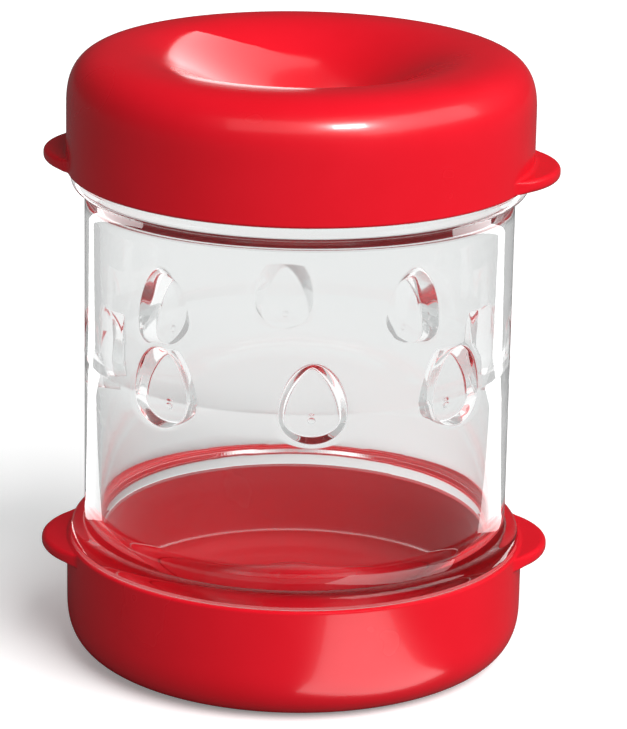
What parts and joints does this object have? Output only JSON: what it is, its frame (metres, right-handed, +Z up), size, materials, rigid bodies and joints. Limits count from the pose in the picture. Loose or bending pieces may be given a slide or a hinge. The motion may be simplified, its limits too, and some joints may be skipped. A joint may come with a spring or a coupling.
{
  "type": "boiled egg peeler",
  "caption": "Hand-shaken peeler for a boiled egg: a clear tube with drop-shaped nubs inside, closed at both ends by dished press-on caps with grip tabs.",
  "frame": {"origin": "on the table, at the middle of the base cap's crest ring", "axes": "+Z up along the tube's axis, X through the base cap's two grip tabs, -Y towards the viewer"},
  "size_m": [0.08, 0.072, 0.0962],
  "materials": {
    "base_cap_plastic": "glossy opaque red moulded plastic",
    "tube_plastic": "polished clear moulded plastic",
    "top_cap_plastic": "glossy opaque red moulded plastic"
  },
  "bodies": {
    "base": {"base_cap": "base_cap_plastic"},
    "tube": {"clear_tube": "tube_plastic"},
    "lid": {"top_cap": "top_cap_plastic"}
  },
  "joints": [
    {"name": "tube_pull", "type": "slide", "parent": "base", "child": "tube", "axis": [0, 0, 1], "range_m": [0, 0.03]},
    {"name": "lid_pull", "type": "slide", "parent": "tube", "child": "lid", "axis": [0, 0, 1], "range_m": [0, 0.07]}
  ]
}
